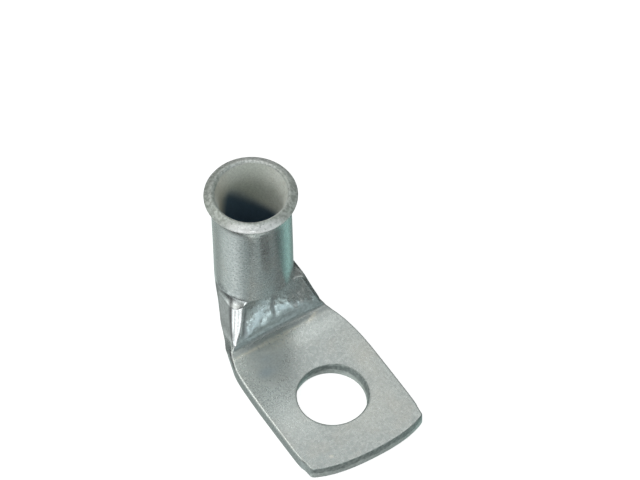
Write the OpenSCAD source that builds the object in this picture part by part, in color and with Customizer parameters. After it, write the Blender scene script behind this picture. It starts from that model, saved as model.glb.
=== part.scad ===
// Right-angle tubular cable lug, made from one length of tube.
// Millimetres, +Z up. The origin is the axis of the stud hole on the underside
// of the palm. The barrel stands up at -X and the palm runs towards +X.

/* [Barrel] */
// Outside diameter of the tube
barrel_od = 11.7; // [11.5:0.1:11.9]
// Bore for the stranded conductor
barrel_bore = 9.3; // [9.1:0.1:9.5]
// Height of the mouth above the underside of the palm
lug_height = 28.1; // [27:0.1:32]
// Distance from the axis of the barrel to the axis of the stud hole
reach = 21.2; // [20.8:0.1:22]

/* [Bell mouth] */
// How far the bell stands out beyond the tube, on the radius
bell_out = 1.0; // [0.7:0.1:1.2]
// Height over which the bell opens
bell_height = 4.4; // [3.6:0.2:5]
// Drop of the sloping end face from its inner to its outer edge
lip_drop = 0.8; // [0.5:0.1:1]

/* [Palm] */
// Width of the pressed flat
palm_width = 19.6; // [19:0.2:20.6]
// Thickness of the palm, two walls pressed together
palm_t = 2.2; // [2:0.1:2.4]
// Stud hole diameter
stud_hole_d = 10.5; // [8.4:0.1:10.5]
// Distance from the axis of the stud hole to the middle of the cropped end
tip_reach = 11.4; // [11:0.1:12]
// How far the middle of the cropped end stands out beyond its corners
tip_crown = 1.6; // [1:0.1:2]
// Corner radius of the cropped end
tip_corner_r = 0.8; // [0.4:0.1:1.2]

/* [Press and bend] */
// Height of the press line, where the round barrel ends
press_z = 9.4; // [9:0.1:10]
// Depth of the pressed face behind the front of the barrel
press_depth = 1.7; // [1.3:0.1:2]
// Inside radius of the bend
bend_r = 0.6; // [0.4:0.1:0.9]

/* [Hidden] */

r_out = barrel_od / 2;
r_bore = barrel_bore / 2;
wall = r_out - r_bore;
half_w = palm_width / 2;
pivot_x = -14.1;             // centre line of the bend
pivot_z = palm_t + bend_r;
face_x = -reach + r_out;     // front generator of the barrel
back_x = -reach - r_out;     // back generator of the barrel
foot_x = pivot_x - bend_r * 1.06;                                        // lower end of the pressed face
lean = atan((foot_x - face_x + press_depth) / (press_z - pivot_z));      // its slope from upright
half = 22;                   // section points from the middle of the front to the middle of the back

// Half sections of the pressed part, from the bend up to the press line.
// [height fraction, back forward of the barrel back, half width,
//  depth of the back curve, dish of the face]
PRESS = [
    [0.00, 7.40, 7.60, 1.90, 0.25],
    [0.11, 6.65, 7.45, 2.00, 0.30],
    [0.33, 4.80, 7.00, 2.90, 0.50],
    [0.55, 3.15, 6.60, 3.80, 0.60],
    [0.80, 1.20, 6.15, 4.80, 0.55],
    [1.00, 0.05, 5.80, 5.60, 0.45]
];

// Radius of the ridge between the pressed face and the side, by height
RIDGE = [[2.2, 0.42], [3, 0.5], [4.5, 0.92], [7, 1.28], [9.6, 1.4]];

// Half sections round the bend.
// [angle, half width, back curve across, back curve deep, dish]
BEND = [
    [ 0, 7.60, 7.60, 1.90, 0.25],
    [20, 7.85, 6.20, 1.60, 0.15],
    [45, 8.15, 3.60, 1.20, 0.05],
    [70, 8.36, 1.40, 0.80, 0.00],
    [90, 8.50, 0.50, 0.50, 0.00]
];
// Outer radius round the bend, up to the angle where the underside is flat
HEEL = [[0, 5.55], [20, 4.5], [45, 3.87]];

// Half width of the palm, as a share of palm_width / 2
PLAN = [[-14.1, 0.867], [-13, 0.9], [-12, 0.927], [-11, 0.947], [-10, 0.963], [-8, 0.983],
    [-6.6, 0.992], [-4, 1], [0, 1], [5, 1], [9, 0.985], [12.5, 0.955]];

// Smooth interpolation through the rows of a table, with no overshoot
function slope(t, i, c) =
    let (n = len(t) - 1)
    i == 0 ? (t[1][c] - t[0][c]) / (t[1][0] - t[0][0]) :
    i == n ? (t[n][c] - t[n - 1][c]) / (t[n][0] - t[n - 1][0]) :
    let (a = (t[i][c] - t[i - 1][c]) / (t[i][0] - t[i - 1][0]),
         b = (t[i + 1][c] - t[i][c]) / (t[i + 1][0] - t[i][0]))
    a * b <= 0 ? 0 : 2 * a * b / (a + b);
function seg(t, q, i = 0) = i >= len(t) - 2 || q < t[i + 1][0] ? i : seg(t, q, i + 1);
function at(t, q, c) =
    let (i = seg(t, q), h = t[i + 1][0] - t[i][0], u = min(1, max(0, (q - t[i][0]) / h)))
    (2 * u * u * u - 3 * u * u + 1) * t[i][c] + (u * u * u - 2 * u * u + u) * h * slope(t, i, c)
    + (3 * u * u - 2 * u * u * u) * t[i + 1][c] + (u * u * u - u * u) * h * slope(t, i + 1, c);

// One half of a section as [across, depth], from the middle of the face to the
// middle of the back: flat face, face corner, side, back curve, back.
// w half width, t depth, cf face corner, ca and cb back curve, dish of the face
function half_section(w, t, cf, ca, cb, dish) =
    let (cg = min(cf, t * 0.45), cd = min(cb, t - cg - 0.02), turn = ca > w - 0.05 ? 81 : 90)
    [for (i = [0:half])
        i < 5 ? [(w - cf) * i / 5, dish * (1 - pow(i / 5, 2))] :
        i < 10 ? let (a = 90 * (i - 5) / 5) [w - cf + cf * sin(a), cg - cg * cos(a)] :
        i < 12 ? [w, cg + (t - cd - cg) * (i - 10) / 2] :
        i < half ? let (a = turn * (i - 12) / (half - 13)) [w - ca + ca * cos(a), t - cd + cd * sin(a)] :
        [0, t]];

// Half of a round section, with as many points
function round_half(r) = [for (i = [0:half]) [r * sin(180 * i / half), r - r * cos(180 * i / half)]];

// Closed ring: the half section and its mirror image
function ring(h) = concat(h, [for (i = [half - 1:-1:1]) [-h[i][0], h[i][1]]]);

// Rings placed in space. Each is [points]
function flat_ring(z, xf, h) = [for (p = ring(h)) [xf - p[1], p[0], z]];
function bend_ring(a, ri, h) = [for (p = ring(h))
    [pivot_x - (ri + p[1]) * cos(a), p[0], pivot_z - (ri + p[1]) * sin(a)]];
function palm_ring(x, h) = [for (p = ring(h)) [x, p[0], palm_t - p[1]]];

// g is the wall to take off, for the inside of the tube
function press_half(u, g) = let (
    xf = press_face(u, g),
    xb = back_x + at(PRESS, u, 1) + g,
    w = at(PRESS, u, 2) - g)
    half_section(w, xf - xb, at(RIDGE, press_height(u), 1) - g / 2, w,
        at(PRESS, u, 3) - g / 2, at(PRESS, u, 4));
function press_face(u, g) = foot_x + (face_x - press_depth - foot_x) * u - g;
function press_height(u) = pivot_z + (press_z - pivot_z) * u;
function heel_r(a) = a <= 45 ? min(at(HEEL, a, 1), pivot_z / sin(max(a, 1))) : pivot_z / sin(a);
function inner_r(a) = bend_r / cos(max(0, lean - a));
function bend_half(a, g) = half_section(
    at(BEND, a, 1) - g, heel_r(a) - inner_r(a) - 2 * g, max(0.1, 0.5 - g / 2),
    min(at(BEND, a, 2), at(BEND, a, 1)) - g, at(BEND, a, 3) - g / 2, at(BEND, a, 4));
function palm_half(x) = half_section(half_w * at(PLAN, x, 1), palm_t, 0.35, 0.3, 0.3, 0);

// Middle of a ring
function middle(r) = let (n = len(r)) [
    for (k = [0:2]) (min([for (p = r) p[k]]) + max([for (p = r) p[k]])) / 2];

// Skin over a stack of rings, closed at both ends by a fan round a middle point
module loft(rings) {
    n = len(rings[0]);
    m = len(rings);
    polyhedron(
        points = concat([for (r = rings) for (p = r) p], [middle(rings[0]), middle(rings[m - 1])]),
        faces = concat(
            [for (j = [0:m - 2]) for (i = [0:n - 1])
                [j * n + i, j * n + (i + 1) % n, (j + 1) * n + (i + 1) % n]],
            [for (j = [0:m - 2]) for (i = [0:n - 1])
                [j * n + i, (j + 1) * n + (i + 1) % n, (j + 1) * n + i]],
            [for (i = [0:n - 1]) [m * n, (i + 1) % n, i]],
            [for (i = [0:n - 1]) [m * n + 1, (m - 1) * n + i, (m - 1) * n + (i + 1) % n]]));
}

// Pressed web, bend and palm as one body, before cropping and punching
module flattened() {
    loft(concat(
        [flat_ring(press_z + 1.2, -reach + r_out - 0.05, round_half(r_out - 0.05)),
         flat_ring(press_z + 0.55, -reach + r_out - 0.05, round_half(r_out - 0.05))],
        [for (i = [10:-1:0]) flat_ring(press_height(i / 10), press_face(i / 10, 0), press_half(i / 10, 0))],
        [for (a = [9:9:90]) bend_ring(a, inner_r(a), bend_half(a, 0))],
        [for (x = [-13.4, -12.7, -12, -11, -10, -9, -8, -6.5, -5, -2, 2, 6, 9, 12.5]) palm_ring(x, palm_half(x))]));
}

// Inside of the pressed part: the bore narrows to a slit and closes in the heel
module closing_cavity() {
    g = wall;
    loft(concat(
        [flat_ring(press_z + 2.2, -reach + r_bore - 0.05, round_half(r_bore - 0.05)),
         flat_ring(press_z + 1.6, -reach + r_bore - 0.05, round_half(r_bore - 0.05))],
        [for (i = [8:-1:0]) flat_ring(press_height(i / 8), press_face(i / 8, g), press_half(i / 8, g))],
        [for (a = [12:12:36]) bend_ring(a, inner_r(a) + g, bend_half(a, g))]));
}

// Outline that the crop tool leaves, seen from above
module crop_outline() {
    rr = (half_w * half_w + tip_crown * tip_crown) / (2 * tip_crown);
    cx = tip_reach - tip_crown - tip_corner_r;
    cy = half_w * 0.975 - tip_corner_r;
    difference() {
        intersection() {
            translate([tip_reach - rr, 0]) circle(r = rr, $fn = 180);
            translate([-60, -30]) square([60 + tip_reach, 60]);
        }
        for (s = [-1, 1]) translate([cx, s * cy]) difference() {
            translate([0, s > 0 ? 0 : -5]) square([5, 5]);
            circle(r = tip_corner_r, $fn = 48);
        }
    }
}

// Outside of the barrel with its bell, and the sloping end face
module barrel_outside() {
    z0 = press_z + 0.4;
    z1 = lug_height - bell_height;
    zl = lug_height - lip_drop;
    translate([-reach, 0, 0]) rotate_extrude($fn = 120) polygon([
        [0, z0], [r_out, z0], [r_out, z1],
        [r_out + bell_out * 0.05, z1 + bell_height * 0.30],
        [r_out + bell_out * 0.22, z1 + bell_height * 0.50],
        [r_out + bell_out * 0.50, zl - 0.85],
        [r_out + bell_out * 0.86, zl - 0.30],
        [r_out + bell_out, zl],
        [r_out + bell_out - 0.14, zl + 0.20],
        [r_bore + bell_out * 0.92 + 0.1, lug_height],
        [0, lug_height]]);
}

// Bore, opening into the bell
module bore_inside() {
    z1 = lug_height - bell_height;
    translate([-reach, 0, press_z + 1.9]) cylinder(h = z1 - press_z - 1.85, r = r_bore, $fn = 96);
    translate([-reach, 0, 0]) rotate_extrude($fn = 96) polygon([
        [0, z1 - 0.2], [r_bore - 0.0005, z1 - 0.2], [r_bore, z1],
        [r_bore + bell_out * 0.05, z1 + bell_height * 0.30],
        [r_bore + bell_out * 0.20, z1 + bell_height * 0.52],
        [r_bore + bell_out * 0.45, lug_height - lip_drop - 0.3],
        [r_bore + bell_out * 0.75, lug_height - 0.25],
        [r_bore + bell_out * 1.0, lug_height + 0.02],
        [0, lug_height + 0.02]]);
}

module cable_lug() {
    color([0.66, 0.69, 0.68])
    difference() {
        union() {
            barrel_outside();
            intersection() {
                flattened();
                translate([0, 0, -1]) linear_extrude(lug_height) crop_outline();
            }
        }
        bore_inside();
        closing_cavity();
        translate([0, 0, -1]) cylinder(h = palm_t + 2, d = stud_hole_d, $fn = 96);
    }
}

cable_lug();
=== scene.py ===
import math

import bmesh
import bpy
import numpy as np
from mathutils import Matrix, Vector, noise


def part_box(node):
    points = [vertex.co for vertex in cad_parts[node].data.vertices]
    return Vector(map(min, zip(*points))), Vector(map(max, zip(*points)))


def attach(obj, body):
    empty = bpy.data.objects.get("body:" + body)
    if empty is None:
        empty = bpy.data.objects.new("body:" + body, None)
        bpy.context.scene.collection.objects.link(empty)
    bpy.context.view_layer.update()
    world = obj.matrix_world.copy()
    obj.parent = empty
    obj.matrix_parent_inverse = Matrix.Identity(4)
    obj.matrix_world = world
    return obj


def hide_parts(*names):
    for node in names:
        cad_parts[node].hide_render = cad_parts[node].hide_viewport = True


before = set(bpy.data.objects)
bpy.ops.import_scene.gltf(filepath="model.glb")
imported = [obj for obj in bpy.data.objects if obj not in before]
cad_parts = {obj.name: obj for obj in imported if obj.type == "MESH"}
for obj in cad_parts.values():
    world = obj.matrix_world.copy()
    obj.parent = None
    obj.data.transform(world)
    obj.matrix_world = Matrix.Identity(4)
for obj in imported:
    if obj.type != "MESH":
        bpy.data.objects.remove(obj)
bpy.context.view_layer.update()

MM = 0.001

# ---------------------------------------------------------------- sizes, mm
# The box of the CAD node gives the outer sizes. The rest repeats part.scad.
lo, hi = (np.array(c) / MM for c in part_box("cable_lug"))
R_OUT = 5.85
R_BORE = 4.65
BELL = 1.0
REACH = -lo[0] - R_OUT - BELL
HEIGHT = min(hi[2], 28.10)
HALF_W = hi[1]
TIP = hi[0]
PALM_T = 2.2
R_HOLE = 5.25
PRESS_Z = 9.4
BEND_R = 0.55
BELL_H = 4.4
LIP_DROP = 0.8
PIVOT_X = -14.1
PIVOT_Z = PALM_T + BEND_R
FACE_X = -REACH + R_OUT
BACK_X = -REACH - R_OUT
WALL = R_OUT - R_BORE


# ------------------------------------------------------------ interpolation
def curve(rows, c):
    """Smooth function through column c of a table, with no overshoot."""
    x = np.array([r[0] for r in rows], float)
    y = np.array([r[c] for r in rows], float)
    d = np.diff(y) / np.diff(x)
    m = np.concatenate([[d[0]], np.zeros(len(x) - 2), [d[-1]]])
    for i in range(1, len(x) - 1):
        m[i] = 0 if d[i - 1] * d[i] <= 0 else 2 * d[i - 1] * d[i] / (d[i - 1] + d[i])

    def f(q):
        q = np.clip(q, x[0], x[-1])
        i = np.clip(np.searchsorted(x, q, side="right") - 1, 0, len(x) - 2)
        h = x[i + 1] - x[i]
        u = (q - x[i]) / h
        return (
            (2 * u**3 - 3 * u**2 + 1) * y[i]
            + (u**3 - 2 * u**2 + u) * h * m[i]
            + (3 * u**2 - 2 * u**3) * y[i + 1]
            + (u**3 - u**2) * h * m[i + 1]
        )

    return f


def ease(a, b, x):
    u = np.clip((np.asarray(x, float) - a) / (b - a), 0, 1)
    return u * u * (3 - 2 * u)


def mix(a, b, u):
    return a + (b - a) * u


# height fraction, face behind barrel front, back forward of barrel back,
# half width, depth of back curve, dish of the face
PRESS = [
    [0.00, -0.65, 7.40, 7.60, 1.90, 0.25],
    [0.11, -0.40, 6.65, 7.45, 2.00, 0.30],
    [0.33, 0.10, 4.80, 7.00, 2.90, 0.50],
    [0.55, 0.62, 3.15, 6.60, 3.80, 0.60],
    [0.80, 1.20, 1.20, 6.15, 4.80, 0.55],
    [1.00, 1.70, 0.05, 5.80, 5.60, 0.45],
]
# angle, half width, back curve across, deep, dish
BEND = [
    [0, 7.60, 7.60, 1.90, 0.25],
    [20, 7.85, 6.20, 1.60, 0.15],
    [45, 8.15, 3.60, 1.20, 0.05],
    [70, 8.36, 1.40, 0.80, 0.00],
    [90, 8.50, 0.50, 0.50, 0.00],
]
HEEL = [[0, 5.55], [20, 4.5], [45, 3.87]]
LEAN = 19.5  # slope of the pressed face from upright, degrees
# Half width of the palm, and how far its middle lies to one side
PLAN = [
    [-14.1, 8.50, -0.28],
    [-13, 8.80, -0.30],
    [-12, 9.08, -0.30],
    [-11, 9.29, -0.27],
    [-10, 9.44, -0.23],
    [-9, 9.55, -0.19],
    [-8, 9.63, -0.15],
    [-6.6, 9.72, -0.12],
    [-4, 9.80, -0.10],
    [0, 9.82, -0.10],
    [5, 9.82, -0.10],
    [7.2, 9.76, -0.08],
    [9, 9.66, -0.05],
    [10.1, 9.55, -0.05],
    [12, 9.40, -0.05],
]
# Radius of the ridge between the pressed face and the side, by height: it is
# full on the -Y side and tight on the +Y side
RIDGE = [
    [2.2, 0.42, 0.40],
    [3.0, 0.62, 0.45],
    [4.5, 1.35, 0.60],
    [7.0, 1.85, 0.75],
    [9.6, 2.00, 0.85],
]
press = [curve(PRESS, c) for c in range(1, 6)]
bend = [curve(BEND, c) for c in range(1, 5)]
heel_at = curve(HEEL, 1)
plan = curve(PLAN, 1)
aside = curve(PLAN, 2)
ridge = {-1: curve(RIDGE, 1), 1: curve(RIDGE, 2)}

# -------------------------------------------------------- sections of the lug
# Cells round half a section: flat face, its corner, side, back corner and back
NF, NC, NS = 46, 10, 8
N = 2 * (NF + NC) + NS
RING = 2 * N


def quarter(across, deep, crease, n):
    """Quarter curve from (0, 0) that leaves the flat at an angle and ends square to it."""
    a = np.radians(np.linspace(crease, 90, n + 1))
    s, c = math.sin(math.radians(crease)), math.cos(math.radians(crease))
    return np.stack(
        [across * (np.sin(a) - s) / (1 - s), deep * (c - np.cos(a)) / c], 1
    )


def half_section(w, t, cf, cg, ca, cb, dish, crease=0.0, even=1.0):
    """(across, depth) from the middle of the face to the middle of the back."""
    u = np.linspace(0, 1, NF + 1)
    face = np.stack([(w - cf) * u, dish * (1 - u**2)], 1)
    corner = quarter(cf, cg, crease, NC) + [w - cf, 0]
    cd = min(cb, t - cg - 0.02)
    side = np.stack([np.full(NS + 1, w), np.linspace(cg, t - cd, NS + 1)], 1)
    q = quarter(ca, cd, crease, 90)[::-1]
    dense = np.stack([w - ca + q[:, 0], t - q[:, 1]], 1)
    run = w - ca
    if run > 1e-6:
        flat = np.stack(
            [np.linspace(run, 0, 91)[1:], np.full(90, t)], 1
        )
        dense = np.concatenate([dense, flat])
    s = np.concatenate([[0], np.cumsum(np.linalg.norm(np.diff(dense, axis=0), axis=1))])
    nb = NF + NC
    share = np.linspace(0, 1, nb + 1)
    if even < 1 and run > 1e-6:
        k = s[90] / s[-1]
        own = np.concatenate(
            [np.linspace(0, k, NC + 1), np.linspace(k, 1, NF + 1)[1:]]
        )
        share = mix(own, share, even)
    at = share * s[-1]
    back = np.stack([np.interp(at, s, dense[:, 0]), np.interp(at, s, dense[:, 1])], 1)
    return np.concatenate([face, corner[1:], side[1:], back[1:]])


def whole(h):
    """Two half sections, +Y and -Y, as one closed ring."""
    plus, minus = h if isinstance(h, tuple) else (h, h)
    m = minus[N - 1 : 0 : -1].copy()
    m[:, 0] *= -1
    return np.concatenate([plus, m])


def flat_ring(z, xf, h):
    r = whole(h)
    return np.stack([xf - r[:, 1], r[:, 0], np.full(RING, z)], 1)


def bend_ring(a, ri, h):
    r = whole(h)
    d = ri + r[:, 1]
    c, s = math.cos(math.radians(a)), math.sin(math.radians(a))
    return np.stack([PIVOT_X - d * c, r[:, 0], PIVOT_Z - d * s], 1)


def press_half(u, g=0.0):
    xf = FACE_X - press[0](u) - g
    xb = BACK_X + press[1](u) + g
    w = press[2](u) - g
    both = []
    for k in (1, -1):
        c = float(ridge[k](mix(PIVOT_Z, PRESS_Z, u))) - g / 2
        c = max(c, 0.1)
        both.append(
            half_section(w, xf - xb, c, c, w, press[3](u) - g / 2, press[4](u))
        )
    return xf, tuple(both)


def inner_r(a):
    return BEND_R / math.cos(math.radians(max(0.0, LEAN - a)))


def heel_r(a):
    r = PIVOT_Z / math.sin(math.radians(max(a, 1)))
    return min(float(heel_at(a)), r) if a <= 45 else r


def bend_half(a, g=0.0):
    both = []
    for side in (1, -1):
        c = max(float(ridge[side](PIVOT_Z)) - g / 2, 0.1)
        both.append(
            half_section(
                bend[0](a) - g,
                heel_r(a) - inner_r(a) - 2 * g,
                c,
                c,
                min(bend[1](a), bend[0](a)) - g,
                bend[2](a) - g / 2,
                bend[3](a),
                even=1 - float(ease(30, 85, a)),
            )
        )
    return tuple(both)


def palm_half(x):
    k = float(ease(PIVOT_X, -10.5, x))
    b = mix(0.5, 0.22, k)
    both = []
    for side in (1, -1):
        c = mix(float(ridge[side](PIVOT_Z)), 0.32, k)
        both.append(half_section(float(plan(x)), PALM_T, c, c, b, b, 0.0, even=0.0))
    return tuple(both)


# Angles of the round rings, so that each point runs straight down to its place
# in the pressed section
_, h1 = press_half(1.0)
run = np.concatenate([[0], np.cumsum(np.linalg.norm(np.diff(h1[1], axis=0), axis=1))])
ang = np.pi * run / run[-1]
ang = np.concatenate([ang, 2 * np.pi - ang[N - 1 : 0 : -1]])
station = np.concatenate([np.arange(N + 1), np.arange(N - 1, 0, -1)])


def round_ring(z, r):
    return np.stack(
        [-REACH + r * np.cos(ang), r * np.sin(ang), np.broadcast_to(z, (RING,))], 1
    )


def smooth_line(points, step):
    """Points evenly along a smooth line through the given ones."""
    p = np.array(points, float)
    q = np.concatenate([[2 * p[0] - p[1]], p, [2 * p[-1] - p[-2]]])
    out = []
    for i in range(1, len(q) - 2):
        a, b, c, d = q[i - 1 : i + 3]
        for u in np.linspace(0, 1, 24, endpoint=False):
            out.append(
                0.5
                * (
                    2 * b
                    + (c - a) * u
                    + (2 * a - 5 * b + 4 * c - d) * u**2
                    + (3 * b - a - 3 * c + d) * u**3
                )
            )
    out.append(q[-2])
    out = np.array(out)
    s = np.concatenate([[0], np.cumsum(np.linalg.norm(np.diff(out, axis=0), axis=1))])
    at = np.linspace(0, s[-1], max(2, int(round(s[-1] / step)) + 1))
    return np.stack([np.interp(at, s, out[:, 0]), np.interp(at, s, out[:, 1])], 1)


# --------------------------------------------------------- the stack of rings
rings = []
zone = []  # 0 inside, 1 lip, 2 barrel, 3 step, 4 web, 5 bend, 6 palm, 7 tip


def add(points, where):
    rings.append(points)
    zone.append(where)


# inside, from the closed slit in the heel up to the bore
for a in np.linspace(36, 6, 6):
    add(bend_ring(a, inner_r(a) + WALL, bend_half(a, WALL)), 0)
for z in np.linspace(PIVOT_Z, PRESS_Z, 9):
    xf, h = press_half((z - PIVOT_Z) / (PRESS_Z - PIVOT_Z), WALL)
    add(flat_ring(z, xf, h), 0)
xf, h = press_half(1.0, WALL)
for u in np.linspace(0, 1, 7)[1:]:
    z = mix(PRESS_Z, 11.3, u)
    add(mix(flat_ring(z, xf, h), round_ring(z, R_BORE), float(ease(0, 1, u))), 0)
for z in np.linspace(11.3, 23.6, 20)[1:]:
    add(round_ring(z, R_BORE), 0)
H = HEIGHT
lip = smooth_line(
    [
        (4.65, 23.8),
        (4.70, 25.1),
        (4.84, 26.1),
        (5.06, 27.0),
        (5.28, 27.6),
        (5.44, 27.98),
        (5.56, H - 0.05),
        (5.68, H),
        (5.84, H - 0.05),
        (6.15, H - 0.22),
        (6.45, H - 0.40),
        (6.68, H - 0.56),
        (6.81, H - 0.74),
        (6.84, H - 0.92),
        (6.76, H - 1.10),
        (6.58, H - 1.36),
        (6.35, H - 1.70),
        (6.10, H - 2.20),
        (5.95, H - 2.80),
        (5.88, H - 3.50),
        (5.85, H - 4.40),
    ],
    0.20,
)
for r, z in lip:
    add(round_ring(z, r), 1 if z > 25.0 else (0 if r < 5.2 else 2))
turned = np.abs((np.degrees(ang) + 180) % 360 - 180)


def barrel_ring(z):
    return round_ring(z, R_OUT)


for z in np.concatenate(
    [np.linspace(HEIGHT - BELL_H, 12.4, 22)[1:], np.linspace(12.4, 9.95, 12)[1:]]
):
    add(barrel_ring(z), 2)

# Relief of the pressed face, mm outwards: y, z, half sizes along and across,
# slope of the long axis in degrees, height
RELIEF = [
    [-3.40, 4.15, 1.90, 0.60, 27, 0.20],
    [-1.10, 6.30, 0.80, 1.40, 10, 0.06],
    [1.80, 4.10, 1.25, 0.45, -15, 0.13],
    [4.40, 3.55, 0.85, 0.35, -8, 0.07],
    [-5.40, 3.05, 1.00, 0.16, 17, 0.05],
]


def gauss(y, z, row):
    y0, z0, ry, rz, slope = row[:5]
    c, s = math.cos(math.radians(slope)), math.sin(math.radians(slope))
    p, q = (y - y0) * c + (z - z0) * s, (z - z0) * c - (y - y0) * s
    return np.exp(-((p / ry) ** 2) - (q / rz) ** 2)


# Hollow of the pressed face between the press line and the fold: height, depth
DISH = [
    [9.2, 0.00],
    [8.6, 0.10],
    [8.0, 0.24],
    [7.0, 0.46],
    [6.2, 0.54],
    [5.3, 0.50],
    [4.3, 0.30],
    [3.4, 0.00],
]
dish = curve([[-z, d] for z, d in DISH], 1)


def relief(y, z):
    out = sum(0.9 * row[5] * gauss(y, z, row) for row in RELIEF)
    wide = ease(-6.2, -5.0, y) * ease(6.8, 2.4, y)
    down = np.asarray(z, float) + 1.1 * ease(-0.6, 2.2, y)
    out = out - wide * dish(-down) * ((down > 3.4) & (down < 9.2))
    # the vertical crease in the middle
    mid = 0.53 - 0.26 * (6.12 - z)
    out = out - 0.08 * np.exp(-(((y - mid) / 0.26) ** 2)) * ease(3.5, 4.2, z) * ease(7.2, 6.2, z)
    # hollow beside the ridge
    edge = -4.42 - 0.42 * np.maximum(6.3 - z, 0)
    out = out - 0.10 * np.exp(-(((y - edge) / 0.40) ** 2)) * ease(2.9, 4.2, z)
    # fine crumpling low on the face
    deep = np.array(
        [noise.noise(Vector((p * 1.7, q * 1.7, 3.0))) for p, q in zip(y, z)]
    )
    low = ease(8.6, 5.0, z) * ease(2.8, 3.6, z)
    return (out + 0.07 * low * deep) * ease(9.2, 8.3, z) * ease(2.7, 3.3, z)


web_u = np.linspace(0, 1, 61)
web_table = []
for u in web_u:
    xf, h = press_half(u)
    web_table.append(flat_ring(0, xf, h)[:, :2])
web_table = np.array(web_table)
on_face = 1 - ease(NF - 1, NF + 1, station)


def web_ring(z):
    """Pressed section with a height of its own at every station."""
    z = np.broadcast_to(np.asarray(z, float), (RING,))
    k = np.clip((z - PIVOT_Z) / (PRESS_Z - PIVOT_Z), 0, 1) * 60
    i = np.minimum(k.astype(int), 59)
    f = (k - i)[:, None]
    n = np.arange(RING)
    p = web_table[i, n] * (1 - f) + web_table[i + 1, n] * f
    x = p[:, 0] + on_face * relief(p[:, 1], z)
    return np.stack([x, p[:, 1], z], 1)


# the press line: the face steps back under the barrel, lower at the two
# corners than in the middle, and lowest at the -Y corner
Z0 = 9.95
side = np.where(np.arange(RING) > N, -1.0, 1.0)
share = ease(6, 58, turned) * (turned < 180)
edge_z = 9.62 - np.where(side < 0, 0.85, 0.95) * ease(6, 52, turned)
foot_z = 9.30 - np.where(side < 0, 1.35, 1.30) * ease(6, 56, turned)
end_z = foot_z - 0.75
PATH = [(0.0, 0), (0.0, 0.55), (0.0, 0.80), (0.07, 1.0), (0.5, 1.5), (0.9, 1.95)]
PATH += [(1.0, 2.15), (1.0, 2.6), (1.0, 3.0)]
path = smooth_line([(p * 10, q * 10) for p, q in PATH], 1.25) / 10
back = ease(NF + NC + NS / 2, NF + NC + NS + 14, station)
steps = len(path)
for i in range(1, steps):
    m, q = path[i]
    m = min(max(m, 0.0), 1.0)
    z = np.interp(q, [0, 1, 2, 3], [0, 1, 2, 3])
    levels = np.stack([np.full(RING, Z0), edge_z, foot_z, end_z])
    k = min(int(q), 2)
    z = mix(levels[k], levels[k + 1], q - k)
    t = i / (steps - 1)
    m = mix(m, ease(0, 1, t), back)
    low = web_ring(z)
    top = barrel_ring(Z0)
    ring = mix(top, low, np.broadcast_to(m, (RING,))[:, None])
    ring[:, 2] = z
    add(ring, 3)
for u in np.linspace(0, 1, 44)[1:]:
    add(web_ring(mix(end_z, PIVOT_Z, u)), 4)
for a in np.linspace(0, 90, 37)[1:]:
    ring = bend_ring(a, inner_r(a), bend_half(a))
    ring[:, 1] += float(aside(PIVOT_X)) * float(ease(0, 90, a))
    add(ring, 5)


# the palm, whose rows turn from straight to the outline of the cropped end
def tip_line(y):
    s = y / 10.0
    out = 11.38 + 0.27 * s - 1.08 * s**2 - 1.01 * s**4
    over = np.clip(np.abs(y) - 9.0, 0, 0.86)
    return out - (0.9 - np.sqrt(np.maximum(0.81 - over**2, 0)))


def palm_ring(x, inset=0.0, push=0.0):
    h = palm_half(x)
    r = whole(h)
    if inset:
        d = np.roll(r, -1, 0) - np.roll(r, 1, 0)
        d /= np.linalg.norm(d, axis=1)[:, None]
        r = r + inset * np.stack([-d[:, 1], d[:, 0]], 1)
    y, z = r[:, 0], PALM_T - r[:, 1]
    y = y + float(aside(x))
    k = float(ease(6.5, 11.0, x)) if x < 11.0 else 1.0
    return np.stack([x + push + k * (tip_line(y) - 11.38), y, z], 1)


XA, XB = -7.2, 7.2
BEVEL = 0.13
for x in np.linspace(PIVOT_X, XA, 28)[1:]:
    add(palm_ring(x), 6)
row_a = len(rings) - 1
for x in np.linspace(XA, XB, 61)[1:]:
    add(palm_ring(x), 6)
row_b = len(rings) - 1
for x in np.linspace(XB, 11.38 - BEVEL, 22)[1:]:
    add(palm_ring(x), 6)
x_end = 11.38 - BEVEL
for f in (30, 60, 90):
    f = math.radians(f)
    add(palm_ring(x_end, BEVEL * (1 - math.cos(f)), BEVEL * math.sin(f)), 7)
cap_rim = rings[-1]
pair = (N - np.arange(RING)) % RING
middle = (cap_rim + cap_rim[pair]) / 2
for u in (0.12, 0.3, 0.5, 0.7, 0.88, 0.97, 1.0):
    add(mix(cap_rim, middle, u), 7)
    if u == 1.0:
        rings[-1][:, 0] -= 0.05

stack = np.array(rings)
stack[:, :, 1] -= 0.09 * ease(14, 28, stack[:, :, 2])  # the barrel leans a little
zone = np.array(zone)
n_rings = len(stack)
verts = [stack.reshape(-1, 3)]
count = n_rings * RING
tag = [np.repeat(zone, RING)]

# ------------------------------------------------------------------ faces
c = int(round(7.1 / 9.38 * NF))
k = np.arange(RING)
k2 = (k + 1) % RING
cut = np.zeros(RING, bool)
cut[(np.arange(-c, c)) % RING] = True
cut[N - c : N + c] = True
faces = []
for j in range(n_rings - 1):
    keep = ~cut if row_a <= j < row_b else np.ones(RING, bool)
    a, b = k[keep], k2[keep]
    faces.append(
        np.stack([j * RING + a, j * RING + b, (j + 1) * RING + b, (j + 1) * RING + a], 1)
    )


# ------------------------------------------------------------ the stud hole
def loop_of(col):
    """Ring points round the square left open on one face of the palm."""
    out = [(row_a, col(i)) for i in range(-c, c)]
    out += [(j, col(c)) for j in range(row_a, row_b)]
    out += [(row_b, col(i)) for i in range(c, -c, -1)]
    out += [(j, col(-c)) for j in range(row_b, row_a, -1)]
    return np.array([j * RING + q for j, q in out])


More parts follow.
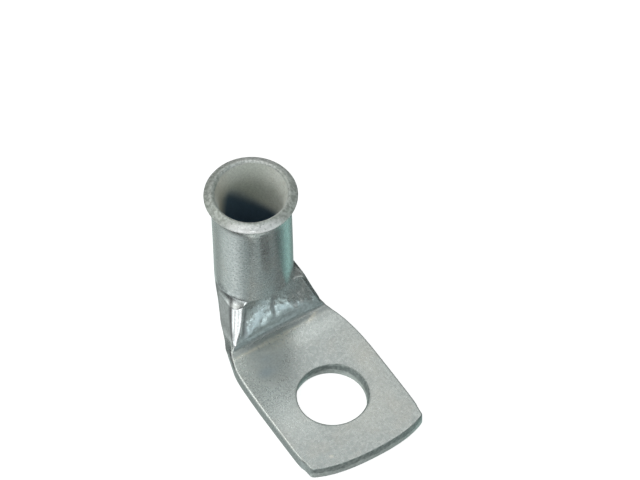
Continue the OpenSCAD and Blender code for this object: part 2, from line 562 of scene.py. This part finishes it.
top = loop_of(lambda i: i % RING)
bottom = loop_of(lambda i: N - i)
flat_verts = verts[0]
pt, pb = flat_verts[top], flat_verts[bottom]
turn = np.arctan2(pt[:, 1], pt[:, 0])
RIM, BURR = 0.12, 0.12
hole = []  # (radius, z, zone)
for f in (0, 22, 45, 68, 90):
    f = math.radians(f)
    hole.append((R_HOLE + RIM * (1 - math.sin(f)), PALM_T - RIM * (1 - math.cos(f)), 8))
zs = np.concatenate([np.linspace(PALM_T - RIM, 1.2, 5)[1:], [1.14, 1.1, 1.06], np.linspace(1.0, BURR, 4)])
for z in zs:
    g = 0.045 * math.exp(-(((z - 1.1) / 0.035) ** 2))
    taper = 0.05 * float(ease(1.05, 0.3, z))
    hole.append((R_HOLE + g + taper, z, 8))
for f in (45, 90):
    f = math.radians(f)
    hole.append((R_HOLE + 0.05 + BURR * (1 - math.cos(f)), BURR * (1 - math.sin(f)), 8))

loops = [top]
L = len(top)


def extend(points, where):
    global count
    verts.append(points)
    tag.append(np.full(len(points), where))
    loops.append(np.arange(count, count + len(points)))
    count += len(points)


def circle(r, z):
    """The punch went through a little off square."""
    u = z / PALM_T
    x, y = mix(-0.20, -0.02, u), mix(-0.14, 0.20, u)
    return np.stack([x + r * np.cos(turn), y + r * np.sin(turn), np.full(L, z)], 1)


rim = circle(hole[0][0], hole[0][1])
for u in (0.16, 0.32, 0.47, 0.6, 0.71, 0.8, 0.87, 0.93):
    extend(mix(pt, rim, u), 6)
for r, z, where in hole:
    extend(circle(r, z), where)
rim = circle(hole[-1][0], hole[-1][1])
for u in (0.93, 0.85, 0.75, 0.62, 0.46, 0.3, 0.14):
    extend(mix(pb, rim, u), 6)
loops.append(bottom)
q = np.arange(L)
q2 = (q + 1) % L
for a, b in zip(loops[:-1], loops[1:]):
    faces.append(np.stack([a[q], b[q], b[q2], a[q2]], 1))

# closed end of the slit inside
first = np.arange(RING)
verts.append(stack[0].mean(0)[None])
tag.append(np.array([0]))
hub = count
count += 1

P = np.concatenate(verts)
TAG = np.concatenate(tag)
F = np.concatenate(faces)

mesh = bpy.data.meshes.new("lug_skin")
tri = [(int(hub), int(b), int(a)) for a, b in zip(first, np.roll(first, -1))]
mesh.from_pydata((P * MM).tolist(), [], [tuple(map(int, f)) for f in F] + tri)
X, Y, Z = P.T
front = np.concatenate(
    [np.tile(on_face, n_rings), np.zeros(len(P) - n_rings * RING)]
) * ((TAG >= 3) & (TAG <= 5))


def patch(u, v, row):
    """Soft elliptical patch: middle, half sizes, slope of the long axis."""
    return gauss(u, v, row)


# painted highlights on pale crumpled patches low on the pressed face, which are also less metallic and
# rougher: y, z, half sizes, slope, strength
CRUMPLE_HIGHLIGHTS = [
    [-3.40, 4.15, 1.90, 0.55, 27, 1.20],
    [-2.60, 5.60, 1.60, 1.40, 20, 0.24],
    [-1.00, 6.20, 0.70, 1.30, 10, 0.24],
    [1.80, 4.10, 1.25, 0.42, -15, 0.95],
    [4.40, 3.55, 0.85, 0.28, -8, 0.80],
    [-5.40, 3.05, 1.00, 0.13, 17, 0.80],
]
crumple_highlight = sum(r[5] * gauss(Y, Z, r) for r in CRUMPLE_HIGHLIGHTS) * front
mid = 0.53 - 0.26 * (6.12 - Z)
crease = ease(3.5, 4.2, Z) * ease(7.2, 6.2, Z)
# no painted highlight along the middle crease
crumple_highlight = crumple_highlight - 1.0 * front * np.exp(-(((Y - mid) / 0.24) ** 2)) * crease
shade = front * (
    0.6 * np.exp(-(((Y - mid) / 0.20) ** 2)) * crease
    + 0.65
    * np.exp(-(((Y + 4.45 + 0.42 * np.maximum(6.3 - Z, 0)) / 0.34) ** 2))
    * ease(3.0, 4.0, Z)
    * ease(9.0, 8.2, Z)
)
# painted shade along the fold, and painted reflection and light marks on the palm: x, y, half sizes,
# slope, strength
flat = (TAG == 6) * ease(1.2, 2.0, Z)
shade = shade + 0.30 * flat * np.exp(-(((X + 13.85) / 0.50) ** 2))
# painted dark reflection of the barrel in the palm, which is also rougher there
BARREL_REFLECTION = [
    [-10.6, -4.6, 1.7, 2.6, 0, 0.75],
    [-12.0, -2.0, 0.9, 3.0, 0, 0.40],
    [-8.2, -5.6, 1.5, 2.0, 0, 0.40],
]
# painted bluish tint in the barrel's reflection on the palm
BARREL_REFLECTION_TINT = [[-8.6, -5.9, 0.9, 1.2, 0, 0.9], [-10.7, -4.6, 0.8, 1.0, 0, 0.45]]
# painted warm light on the palm: a pale streak past the fold, a spot near the end and broad patches
WARM_LIGHT = [
    [-13.08, -2.0, 0.26, 5.4, 0, 1.3],
    [-13.65, 5.5, 1.6, 0.22, -61, 1.3],
    [9.0, -5.8, 0.20, 0.28, 0, 1.2],
    [-12.2, -1.5, 1.2, 2.5, 0, 0.6],
    [5.0, 3.0, 4.0, 5.0, 0, 0.25],
    [-3.0, 7.5, 5.0, 1.6, 0, 0.30],
]
barrel_reflection = flat * sum(r[5] * gauss(X, Y, r) for r in BARREL_REFLECTION)
barrel_reflection_tint = flat * sum(r[5] * gauss(X, Y, r) for r in BARREL_REFLECTION_TINT)
warm_light = flat * sum(r[5] * gauss(X, Y, r) for r in WARM_LIGHT)
# painted light brightening the palm near the fold, along its -Y edge and in the middle
PAINTED_LIGHT = [[-12.3, 0.5, 0.8, 3.5, 0, 0.45], [-11.2, 3.0, 1.5, 7.0, 0, 0.8], [-3.0, -7.2, 7.0, 2.8, 0, 1.0], [-7, 3, 5, 5, 0, 0.3]]
# painted glint on the front of the lip, and a painted highlight along its inner edge
turn_lip = np.degrees(np.arctan2(Y, X + REACH))
lip_glint = np.exp(-(((turn_lip + 27) / 36) ** 4)) * ease(HEIGHT + 0.02, HEIGHT - 0.30, Z)
lip_edge_highlight = np.exp(-(((np.hypot(X + REACH, Y) - 5.42) / 0.14) ** 2)) * (TAG == 1)
lip_glint = np.maximum(lip_glint, 0.9 * lip_edge_highlight * np.exp(-(((turn_lip + 31) / 80) ** 4)))
painted_light = flat * sum(r[5] * gauss(X, Y, r) for r in PAINTED_LIGHT)
# painted highlight along the ridge on the -Y side, which is also less rough there
ridge_highlight = ((TAG == 4) | (TAG == 3)) * ease(-4.6, -5.6, Y) * (X > BACK_X + 3.2)
# painted shade on the -Y side under the press line
SIDE_SHADE = [[-20.6, 9.3, 1.5, 0.8, -12, 1.0], [-19.0, 9.0, 1.6, 0.5, -8, 0.5]]
side_shade = (Y < -3) * (TAG >= 2) * (TAG <= 5) * sum(r[5] * gauss(X, Z, r) for r in SIDE_SHADE)
inner = np.where((TAG == 0) | ((TAG == 1) & (np.hypot(X + REACH, Y) < 5.3)), 1.0, 0.0)
# painted shadow in the depth of the bore: angle round the bore, height of its edge
BORE_SHADOW = [
    [-90, 16.0],
    [60, 17.6],
    [96, 18.7],
    [115, 18.5],
    [134, 19.1],
    [152, 20.2],
    [169, 21.8],
    [189, 23.5],
    [202, 24.2],
    [211, 22.0],
    [221, 18.0],
    [270, 16.0],
]
turn_in = np.degrees(np.arctan2(Y + 0.06, X + REACH))
turn_in = np.where(turn_in < -90, turn_in + 360, turn_in)
deep = 0
for off in (-12, -8, -4, 0, 4, 8, 12):
    shadow_edge_z = curve(BORE_SHADOW, 1)(np.clip(turn_in + off, -90, 270))
    deep = deep + inner * ease(shadow_edge_z + 1.0, shadow_edge_z - 1.3, Z) / 7
# painted shade in the fillet at the foot of the pressed face, and the end face's two bands, the upper one
# painted darker as a painted dark reflection
slot_x = X - PIVOT_X
fold_shade = np.concatenate(
    [np.tile(1 - ease(NF - 2, NF + 5, station), n_rings), np.zeros(len(P) - n_rings * RING)]
)
fold_shade = fold_shade * ((TAG == 4) + (TAG == 5) + 0.0) * ease(4.1, 3.3, Z + 0.25 * np.sin(Y * 2.3))
fold_shade = fold_shade * ease(2.18, 2.30, Z)
# the end face has two bands, and the upper one is painted darker as a painted dark reflection
upper_band_dark_reflection = (TAG >= 7) * ease(0.95, 1.15, Z + 0.10 * np.sin(Y * 1.1 + 1) + 0.06 * np.sin(Y * 3.7))
marks = (
    ("zone", TAG.astype(float)),
    ("inner", inner),
    ("deep", deep),
    ("bore_far_shade", inner * np.exp(-((((turn_in - 150 + 180) % 360 - 180) / 48) ** 2))),
    ("bore_brown_band", inner * 0.8 * np.exp(-((((turn_in - 222 + 180) % 360 - 180) / 26) ** 2))),
    ("fold_shade", np.clip(fold_shade, 0, 1)),
    ("upper_dark_reflection", upper_band_dark_reflection),
    ("lip", np.where((TAG == 1) & (inner == 0) & (Z > HEIGHT - 1.05), 1.0, 0.0)),
    ("cut", np.where(TAG >= 7, 1.0, 0.0)),
    ("crumple_highlight", np.clip(crumple_highlight, 0, 1)),
    ("shade", np.clip(shade, 0, 1)),
    ("barrel_reflection", np.clip(barrel_reflection, 0, 1)),
    ("barrel_reflection_tint", np.clip(barrel_reflection_tint, 0, 1)),
    ("warm_light", np.clip(warm_light, 0, 1)),
    ("painted_light", np.clip(painted_light, 0, 1)),
    ("lip_glint", lip_glint),
    ("flank", ((TAG == 6) & (Z < 1.95) & (Y < 0)) * 1.0),
    ("far", np.exp(-((((turn_lip - 148 + 180) % 360 - 180) / 55) ** 2))),
    ("ridge_highlight", np.clip(ridge_highlight, 0, 1)),
    ("side_shade", np.clip(side_shade, 0, 1)),
)
for name, values in marks:
    at = mesh.attributes.new(name, "FLOAT", "POINT")
    at.data.foreach_set("value", values.astype(np.float32))

bm = bmesh.new()
bm.from_mesh(mesh)
bmesh.ops.remove_doubles(bm, verts=bm.verts, dist=2e-7)
bmesh.ops.dissolve_degenerate(bm, dist=1e-8, edges=bm.edges)
loose = [v for v in bm.verts if not v.link_faces]
bmesh.ops.delete(bm, geom=loose, context="VERTS")
bmesh.ops.recalc_face_normals(bm, faces=bm.faces)
open_edges = [e for e in bm.edges if not e.is_manifold]
print("skin: verts", len(bm.verts), "faces", len(bm.faces), "open edges", len(open_edges))
bm.to_mesh(mesh)
bm.free()
mesh.polygons.foreach_set("use_smooth", [True] * len(mesh.polygons))
mesh.update()

lug = bpy.data.objects.new("lug_body", mesh)
bpy.context.scene.collection.objects.link(lug)
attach(lug, "root")
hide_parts("cable_lug")

# ------------------------------------------------------------------ material
mat = bpy.data.materials.new("tinned_copper")
mat.use_nodes = True
nt = mat.node_tree
bsdf = nt.nodes["Principled BSDF"]
mesh.materials.append(mat)
coords = nt.nodes.new("ShaderNodeTexCoord").outputs["Object"]


def link(a, b):
    nt.links.new(a, b)


def put(sock, value):
    if isinstance(value, bpy.types.NodeSocket):
        link(value, sock)
    else:
        sock.default_value = value


def maths(op, a, b=0.0, c=0.0, clamp=False):
    n = nt.nodes.new("ShaderNodeMath")
    n.operation = op
    n.use_clamp = clamp
    for i, v in enumerate((a, b, c)):
        put(n.inputs[i], v)
    return n.outputs[0]


def attribute(name):
    n = nt.nodes.new("ShaderNodeAttribute")
    n.attribute_name = name
    return n.outputs["Fac"]


def grain(scale, detail=2.0, rough=0.5, stretch=(1, 1, 1), shift=(0, 0, 0), kind="noise"):
    m = nt.nodes.new("ShaderNodeMapping")
    m.inputs["Scale"].default_value = stretch
    m.inputs["Location"].default_value = shift
    link(coords, m.inputs["Vector"])
    if kind == "noise":
        n = nt.nodes.new("ShaderNodeTexNoise")
        n.inputs["Detail"].default_value = detail
        n.inputs["Roughness"].default_value = rough
    else:
        n = nt.nodes.new("ShaderNodeTexVoronoi")
    n.inputs["Scale"].default_value = scale
    link(m.outputs[0], n.inputs["Vector"])
    return n.outputs["Fac" if kind == "noise" else "Distance"]


def span(v, a, b, c=0.0, d=1.0):
    n = nt.nodes.new("ShaderNodeMapRange")
    n.interpolation_type = "SMOOTHSTEP"
    put(n.inputs["Value"], v)
    for name, x in (("From Min", a), ("From Max", b), ("To Min", c), ("To Max", d)):
        n.inputs[name].default_value = x
    return n.outputs["Result"]


def blend(a, b, fac, kind="MIX"):
    n = nt.nodes.new("ShaderNodeMix")
    n.data_type = "RGBA"
    n.blend_type = kind
    put(n.inputs[0], fac)
    put(n.inputs[6], a)
    put(n.inputs[7], b)
    return n.outputs[2]


def lerp(a, b, fac):
    n = nt.nodes.new("ShaderNodeMix")
    n.data_type = "FLOAT"
    put(n.inputs[0], fac)
    put(n.inputs[2], a)
    put(n.inputs[3], b)
    return n.outputs[0]


fine = grain(4600, 2.0, 0.6)
mid_grain = grain(2100, 2.0, 0.55, shift=(0.3, 0.1, 0.2))
broad = grain(260, 2.0, 0.5, shift=(0.7, 0.2, 0.4))
flakes = grain(2200, kind="cells")
drawn = grain(900, 1.0, 0.5, stretch=(1, 1, 0.05))

crumple_highlight_v = maths(
    "MULTIPLY", attribute("crumple_highlight"), span(mid_grain, 0.36, 0.60, 0.65, 1.15), clamp=True
)
shade_v = attribute("shade")
barrel_reflection_v = maths("MULTIPLY", attribute("barrel_reflection"), span(mid_grain, 0.3, 0.6, 0.6, 1.2), clamp=True)
inner_v = attribute("inner")
lip_v = attribute("lip")
cut_v = attribute("cut")
side_shade_v = maths(
    "MULTIPLY", attribute("side_shade"), span(mid_grain, 0.34, 0.52, 0.3, 1.4), clamp=True
)

tin = blend((0.63, 0.67, 0.66, 1), (0.70, 0.72, 0.70, 1), span(fine, 0.34, 0.66))
tin = blend(tin, (0.59, 0.635, 0.635, 1), maths("MULTIPLY", span(mid_grain, 0.42, 0.62), 0.55))
tin = blend(tin, (0.67, 0.665, 0.63, 1), maths("MULTIPLY", span(broad, 0.48, 0.66), 0.5))
# painted light on the palm
tin = blend(tin, (0.93, 0.97, 0.95, 1), maths("MULTIPLY", attribute("painted_light"), 0.92))
# painted highlight on the ridge on the -Y side
tin = blend(tin, (0.86, 0.88, 0.88, 1), maths("MULTIPLY", attribute("ridge_highlight"), 0.8))
# painted bluish tint in the barrel's reflection on the palm
tin = blend(tin, (0.50, 0.60, 0.66, 1), maths("MULTIPLY", attribute("barrel_reflection_tint"), 0.75))
# painted warm light on the palm
warm_light_v = maths("MULTIPLY", attribute("warm_light"), span(mid_grain, 0.32, 0.58, 0.45, 1.3), clamp=True)
tin = blend(tin, (1.00, 0.97, 0.88, 1), maths("MULTIPLY", warm_light_v, 1.0))
# painted dark reflection of the barrel in the palm
tin = blend(tin, (0.50, 0.53, 0.53, 1), maths("MULTIPLY", barrel_reflection_v, 0.2))
tin = blend(tin, (0.42, 0.47, 0.46, 1), maths("MULTIPLY", attribute("flank"), 0.6))
# painted highlight on the crumpled patches of the pressed face
tin = blend(tin, (0.86, 0.97, 1.0, 1), crumple_highlight_v)
# painted shade in the fillet at the foot of the pressed face
fold_shade_v = maths("MULTIPLY", attribute("fold_shade"), span(mid_grain, 0.36, 0.6, 1.1, 0.55), clamp=True)
tin = blend(tin, (0.36, 0.42, 0.42, 1), maths("MULTIPLY", fold_shade_v, 0.65))
tin = blend(tin, (0.12, 0.15, 0.17, 1), maths("MULTIPLY", shade_v, 0.8))
# painted shade under the press line on the -Y side
tin = blend(tin, (0.25, 0.28, 0.28, 1), maths("MULTIPLY", side_shade_v, 0.75))
lip_tint = blend((0.38, 0.41, 0.37, 1), (0.62, 0.65, 0.61, 1), span(mid_grain, 0.38, 0.60))
# the far side of the lip is painted lighter: painted light
lip_far = blend((0.66, 0.68, 0.65, 1), (0.90, 0.91, 0.89, 1), span(mid_grain, 0.38, 0.60))
lip_tint = blend(lip_tint, lip_far, attribute("far"))
# painted glint on the lip's front and inner edge
lip_glint_v = maths("MULTIPLY", attribute("lip_glint"), span(mid_grain, 0.30, 0.42, 0.35, 1.1), clamp=True)
lip_tint = blend(lip_tint, (1.0, 1.0, 0.99, 1), lip_glint_v)
tin = blend(tin, lip_tint, maths("MULTIPLY", lip_v, 0.9))
bore_tint = blend((0.92, 0.95, 0.89, 1), (0.99, 1.00, 0.95, 1), span(broad, 0.4, 0.6))
bore_tint = blend(bore_tint, (0.82, 0.83, 0.77, 1), span(fine, 0.42, 0.62, 0.0, 0.4))
mottle = grain(1100, 3.0, 0.65, shift=(0.2, 0.6, 0.3))
bore_tint = blend(bore_tint, (0.74, 0.73, 0.66, 1), span(mottle, 0.44, 0.66, 0.0, 0.55))
# painted shade on the far wall of the bore
bore_tint = blend(bore_tint, (0.66, 0.69, 0.63, 1), attribute("bore_far_shade"))
# a darker, browner band down one side of the bore
bore_tint = blend(bore_tint, (0.74, 0.70, 0.61, 1), attribute("bore_brown_band"))
# painted shadow deep in the bore
bore_tint = blend(bore_tint, (0.10, 0.16, 0.235, 1), attribute("deep"))
tin = blend(tin, bore_tint, inner_v)
cut_tint = blend((0.54, 0.60, 0.57, 1), (0.66, 0.71, 0.68, 1), span(mid_grain, 0.4, 0.6))
# painted dark reflection on the end face's upper band
cut_dark_reflection = blend((0.22, 0.26, 0.25, 1), (0.40, 0.45, 0.43, 1), span(mid_grain, 0.4, 0.62))
cut_tint = blend(cut_tint, cut_dark_reflection, attribute("upper_dark_reflection"))
tin = blend(tin, cut_tint, maths("MULTIPLY", cut_v, 0.9))
speck = grain(3400, 5.0, 0.75, shift=(0.5, 0.9, 0.1))
tin = blend(tin, span(speck, 0.34, 0.66, 0.88, 1.10), 1.0, "MULTIPLY")
link(tin, bsdf.inputs["Base Color"])

metal = maths("SUBTRACT", 0.88, maths("MULTIPLY", crumple_highlight_v, 0.42))
metal = lerp(metal, 0.0, inner_v)
metal = lerp(metal, 0.38, lip_v)
metal = lerp(metal, 0.6, cut_v)
link(metal, bsdf.inputs["Metallic"])

rough = span(mid_grain, 0.36, 0.66, 0.20, 0.28)
rough = maths("ADD", rough, maths("MULTIPLY", span(fine, 0.35, 0.65), 0.06))
rough = maths("ADD", rough, span(attribute("zone"), 5.2, 5.8, 0.0, 0.03))
rough = maths("SUBTRACT", rough, maths("MULTIPLY", attribute("ridge_highlight"), 0.10))
rough = lerp(rough, 0.36, crumple_highlight_v)
rough = lerp(rough, 0.40, barrel_reflection_v)
rough = lerp(rough, 0.55, fold_shade_v)
rough = lerp(rough, 0.62, maths("MULTIPLY", shade_v, 1.6, clamp=True))
rough = lerp(rough, 0.55, inner_v)
rough = lerp(rough, 0.40, lip_v)
rough = lerp(rough, 0.42, cut_v)
link(rough, bsdf.inputs["Roughness"])

height = maths("MULTIPLY", speck, 0.011)
height = maths("ADD", height, maths("MULTIPLY", mid_grain, 0.004))
height = maths("ADD", height, maths("MULTIPLY", broad, 0.02))
height = maths("ADD", height, maths("MULTIPLY", maths("MULTIPLY", flakes, lip_v), 0.10))
height = maths("ADD", height, maths("MULTIPLY", maths("MULTIPLY", flakes, crumple_highlight_v), 0.06))
height = maths(
    "ADD", height, maths("MULTIPLY", maths("MULTIPLY", drawn, maths("SUBTRACT", 1.0, cut_v)), 0.003)
)
bump = nt.nodes.new("ShaderNodeBump")
bump.inputs["Strength"].default_value = 0.55
bump.inputs["Distance"].default_value = MM
link(height, bump.inputs["Height"])
link(bump.outputs[0], bsdf.inputs["Normal"])

# --------------------------------------------------------------------- floor
floor_mesh = bpy.data.meshes.new("floor")
s = 3.0
floor_mesh.from_pydata(
    [(-s, -s, 0), (s, -s, 0), (s, s, 0), (-s, s, 0)], [], [(0, 1, 2, 3)]
)
floor = bpy.data.objects.new("floor", floor_mesh)
bpy.context.scene.collection.objects.link(floor)
fmat = bpy.data.materials.new("pale_floor")
fmat.use_nodes = True
fb = fmat.node_tree.nodes["Principled BSDF"]
fb.inputs["Base Color"].default_value = (0.5, 0.5, 0.5, 1)
fb.inputs["Roughness"].default_value = 0.9
fb.inputs["Emission Color"].default_value = (1, 1, 1, 1)
fb.inputs["Emission Strength"].default_value = 0.85
floor_mesh.materials.append(fmat)
floor.visible_glossy = False
floor.visible_shadow = False

# -------------------------------------------------------------------- lights
world = bpy.data.worlds.new("studio")
bpy.context.scene.world = world
world.use_nodes = True


# The studio as soft boxes on the sky: azimuth, elevation, sharpness, colour
BOXES = [
    [134, 61, 36, (1.18, 1.22, 1.20)],
    [150, 34, 40, (0.60, 0.63, 0.62)],
    [-150, 50, 30, (2.70, 2.76, 2.66)],
    [122, 22, 30, (0.80, 0.85, 0.83)],
    [-44, 77, 80, (4.40, 4.50, 4.45)],
    [-34, 19, 80, (5.20, 5.30, 5.30)],
    [-95, 62, 36, (1.15, 1.17, 1.08)],
    [-78, 44, 70, (1.40, 1.45, 1.45)],
    [22, 13, 40, (1.45, 1.72, 1.77)],
    [6, 57, 36, (0.36, 0.50, 0.53)],
    [18, -18, 30, (0.16, 0.22, 0.22)],
    [75, 0, 30, (0.45, 0.54, 0.53)],
    [-66, 20, 40, (1.30, 1.35, 1.35)],
    [-76, -8, 60, (1.80, 1.86, 1.88)],
    [-50, 0, 60, (2.05, 2.11, 2.14)],
    [-24, -4, 60, (1.90, 1.96, 1.98)],
    [-122, 18, 36, (1.10, 1.18, 1.15)],
    [-121, -8, 36, (0.46, 0.52, 0.50)],
    [-127, -34, 60, (0.16, 0.18, 0.17)],
    [72, 34, 36, (0.68, 0.72, 0.70)],
    [-152, -28, 50, (0.16, 0.19, 0.18)],
    [-52, -54, 60, (0.25, 0.31, 0.31)],
    [-84, -52, 40, (0.78, 0.84, 0.84)],
    [-115, -48, 36, (0.64, 0.70, 0.69)],
    [-140, -56, 40, (0.22, 0.25, 0.24)],
    [-178, -52, 36, (0.42, 0.48, 0.46)],
    [145, -52, 30, (0.40, 0.50, 0.48)],
    [88, -54, 36, (0.36, 0.62, 0.58)],
    [60, -48, 36, (0.02, 0.06, 0.06)],
]
wt = world.node_tree
wt.nodes.clear()


def wnode(kind, op=None):
    n = wt.nodes.new(kind)
    if op:
        n.operation = op
    return n


sky = wnode("ShaderNodeTexCoord").outputs["Generated"]
total = None
for azimuth, elevation, sharp, colour in BOXES:
    a, e = math.radians(azimuth), math.radians(elevation)
    dot = wnode("ShaderNodeVectorMath", "DOT_PRODUCT")
    wt.links.new(sky, dot.inputs[0])
    dot.inputs[1].default_value = (
        math.cos(a) * math.cos(e),
        math.sin(a) * math.cos(e),
        math.sin(e),
    )
    line = wnode("ShaderNodeMath", "MULTIPLY_ADD")
    wt.links.new(dot.outputs["Value"], line.inputs[0])
    line.inputs[1].default_value = sharp
    line.inputs[2].default_value = -sharp
    glow = wnode("ShaderNodeMath", "EXPONENT")
    wt.links.new(line.outputs[0], glow.inputs[0])
    part = wnode("ShaderNodeVectorMath", "SCALE")
    part.inputs[0].default_value = colour
    wt.links.new(glow.outputs[0], part.inputs["Scale"])
    if total is None:
        total = part.outputs[0]
    else:
        add_up = wnode("ShaderNodeVectorMath", "ADD")
        wt.links.new(total, add_up.inputs[0])
        wt.links.new(part.outputs[0], add_up.inputs[1])
        total = add_up.outputs[0]
backdrop = wnode("ShaderNodeBackground")
wt.links.new(total, backdrop.inputs["Color"])
wt.links.new(backdrop.outputs[0], wnode("ShaderNodeOutputWorld").inputs[0])

# -------------------------------------------------------------------- camera
az, el, roll = (math.radians(v) for v in (-31.636, 53.795, 0.941))
tx, ty, dist = 1.733, 23.961, 730.752
back_v = Vector(
    (math.cos(az) * math.cos(el), math.sin(az) * math.cos(el), math.sin(el))
)
fwd = -back_v
right = fwd.cross(Vector((0, 0, 1))).normalized()
down = fwd.cross(right)
rx = math.cos(roll) * right + math.sin(roll) * down
ry = -math.sin(roll) * right + math.cos(roll) * down
place = -(rx * tx + ry * ty + fwd * dist)
cam_data = bpy.data.cameras.new("camera")
cam_data.sensor_width = 36
cam_data.lens = 5000 / 640 * 36
cam_data.clip_start = 0.01
cam_data.clip_end = 20
cam = bpy.data.objects.new("camera", cam_data)
cam.matrix_world = Matrix.Translation(place * MM) @ Matrix(
    (
        (rx.x, -ry.x, -fwd.x, 0),
        (rx.y, -ry.y, -fwd.y, 0),
        (rx.z, -ry.z, -fwd.z, 0),
        (0, 0, 0, 1),
    )
)
bpy.context.scene.collection.objects.link(cam)
bpy.context.scene.camera = cam
bpy.context.scene.view_settings.view_transform = "Standard"
